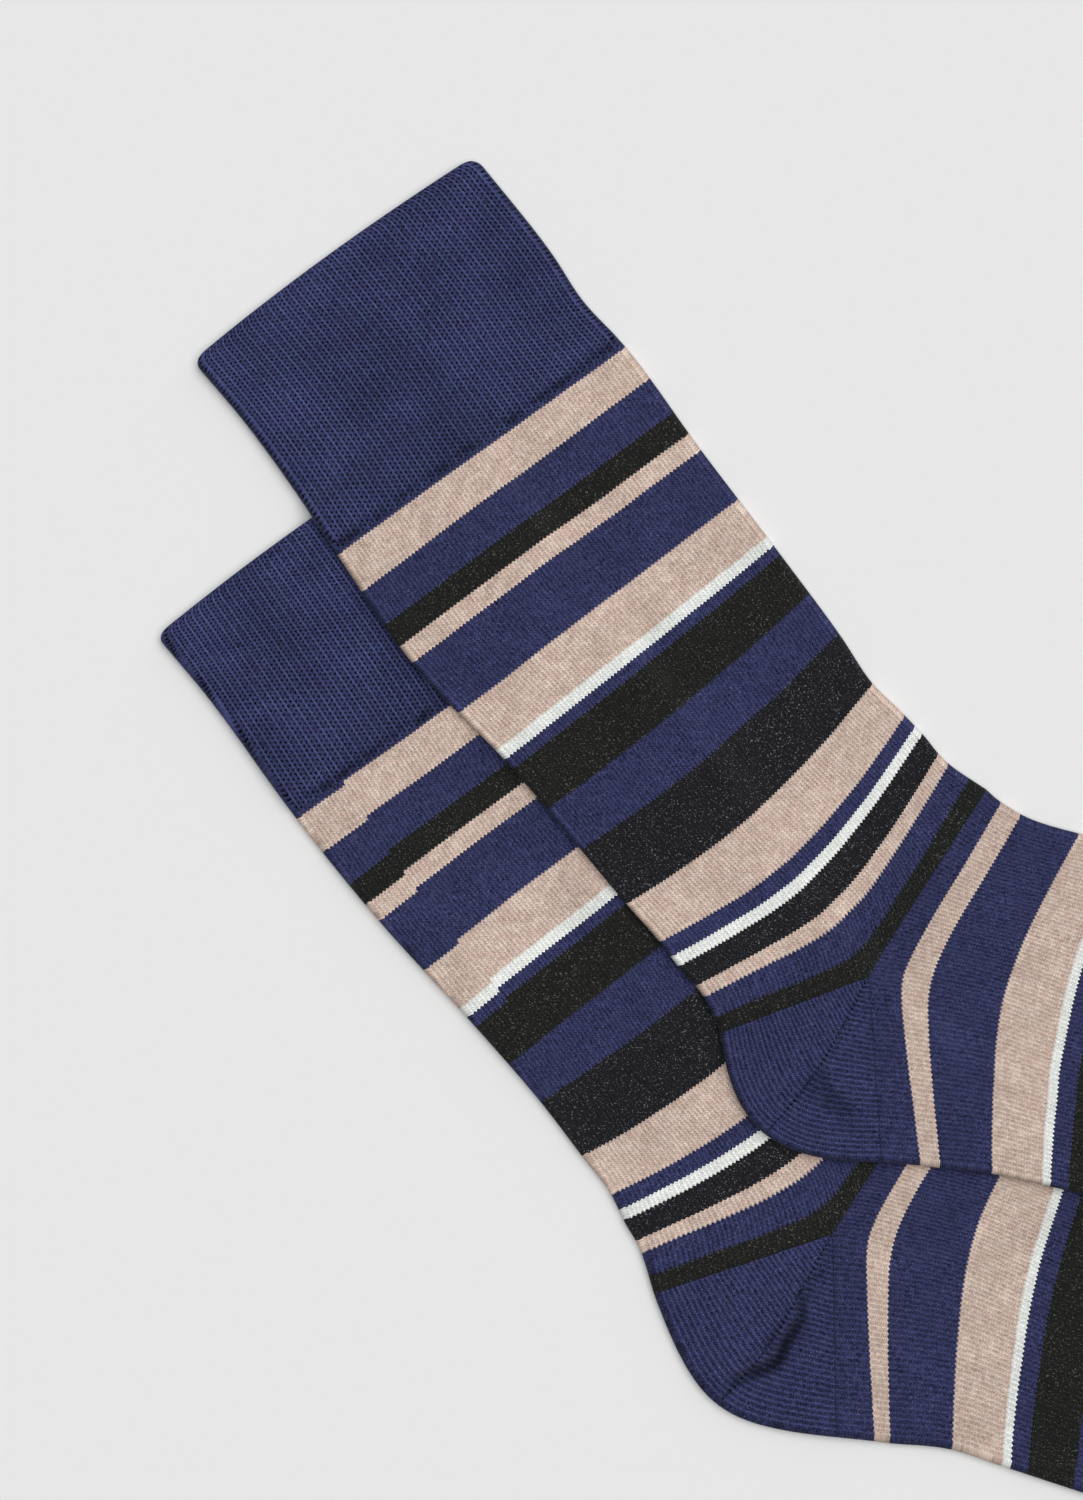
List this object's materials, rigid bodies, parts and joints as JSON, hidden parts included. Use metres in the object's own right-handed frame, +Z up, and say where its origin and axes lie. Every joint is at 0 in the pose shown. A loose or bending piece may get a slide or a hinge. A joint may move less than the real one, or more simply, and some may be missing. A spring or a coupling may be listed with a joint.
{
  "type": "pair of striped knitted socks laid flat",
  "caption": "Pair of fine-knit striped crew socks with plain rib cuffs, turned heels and closed toes, laid flat with the upper sock partly over the lower one.",
  "frame": {"origin": "middle of the bounding box of the pair, on the surface that the socks lie on", "axes": "+Z up from the surface; +X along the longest extent, from the heels towards the toes; +Y towards the cuff of the upper sock"},
  "size_m": [0.3836, 0.3544, 0.0079],
  "materials": {
    "rib_knit": "matt navy cotton, elastic mock-rib knit with small dark pores",
    "striped_knit": "matt cotton jersey, cross stripes of navy, beige melange, off-white, black and dark navy melange",
    "plain_knit": "matt navy cotton jersey with fine lengthwise ridges"
  },
  "bodies": {
    "root": {"upper_sock_cuff": "rib_knit", "upper_sock_leg": "striped_knit", "upper_sock_heel": "plain_knit", "upper_sock_foot": "striped_knit", "upper_sock_toe": "plain_knit", "lower_sock_cuff": "rib_knit", "lower_sock_leg": "striped_knit", "lower_sock_heel": "plain_knit", "lower_sock_foot": "striped_knit", "lower_sock_toe": "plain_knit"}
  },
  "joints": []
}
